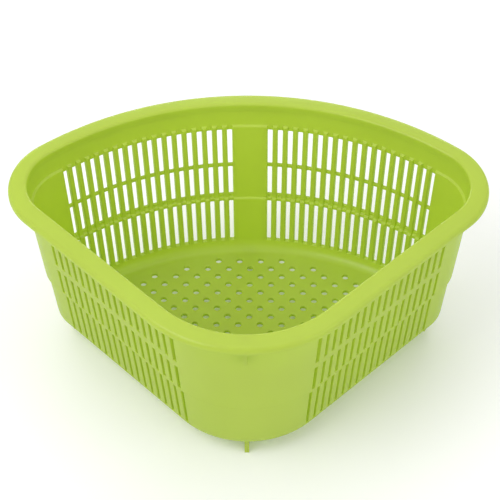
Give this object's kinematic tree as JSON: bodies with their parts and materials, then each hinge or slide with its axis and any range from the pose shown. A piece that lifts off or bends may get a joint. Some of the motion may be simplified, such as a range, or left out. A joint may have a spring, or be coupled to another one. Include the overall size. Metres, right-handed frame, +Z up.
{
  "type": "corner sink strainer basket",
  "caption": "Fan-shaped draining basket for a sink corner, with slotted walls, a perforated floor, a rolled rim and short feet.",
  "frame": {"origin": "under the middle of the rim's box, on the surface that the feet stand on", "axes": "+X to the right, +Y from the rounded front corner to the long curved back wall, +Z up to the rim"},
  "size_m": [0.2484, 0.1822, 0.109],
  "materials": {
    "basket_plastic": "glossy lime green, slightly translucent moulded plastic"
  },
  "bodies": {
    "root": {"floor": "basket_plastic", "back_pillar": "basket_plastic", "back_left_wall": "basket_plastic", "back_right_wall": "basket_plastic", "left_corner": "basket_plastic", "right_corner": "basket_plastic", "left_wall": "basket_plastic", "right_wall": "basket_plastic", "front_corner": "basket_plastic", "rim_back": "basket_plastic", "rim_left_corner": "basket_plastic", "rim_right_corner": "basket_plastic", "rim_left_side": "basket_plastic", "rim_right_side": "basket_plastic", "rim_front": "basket_plastic", "front_foot": "basket_plastic", "back_foot": "basket_plastic", "left_foot": "basket_plastic", "right_foot": "basket_plastic", "front_rib": "basket_plastic"}
  },
  "joints": []
}
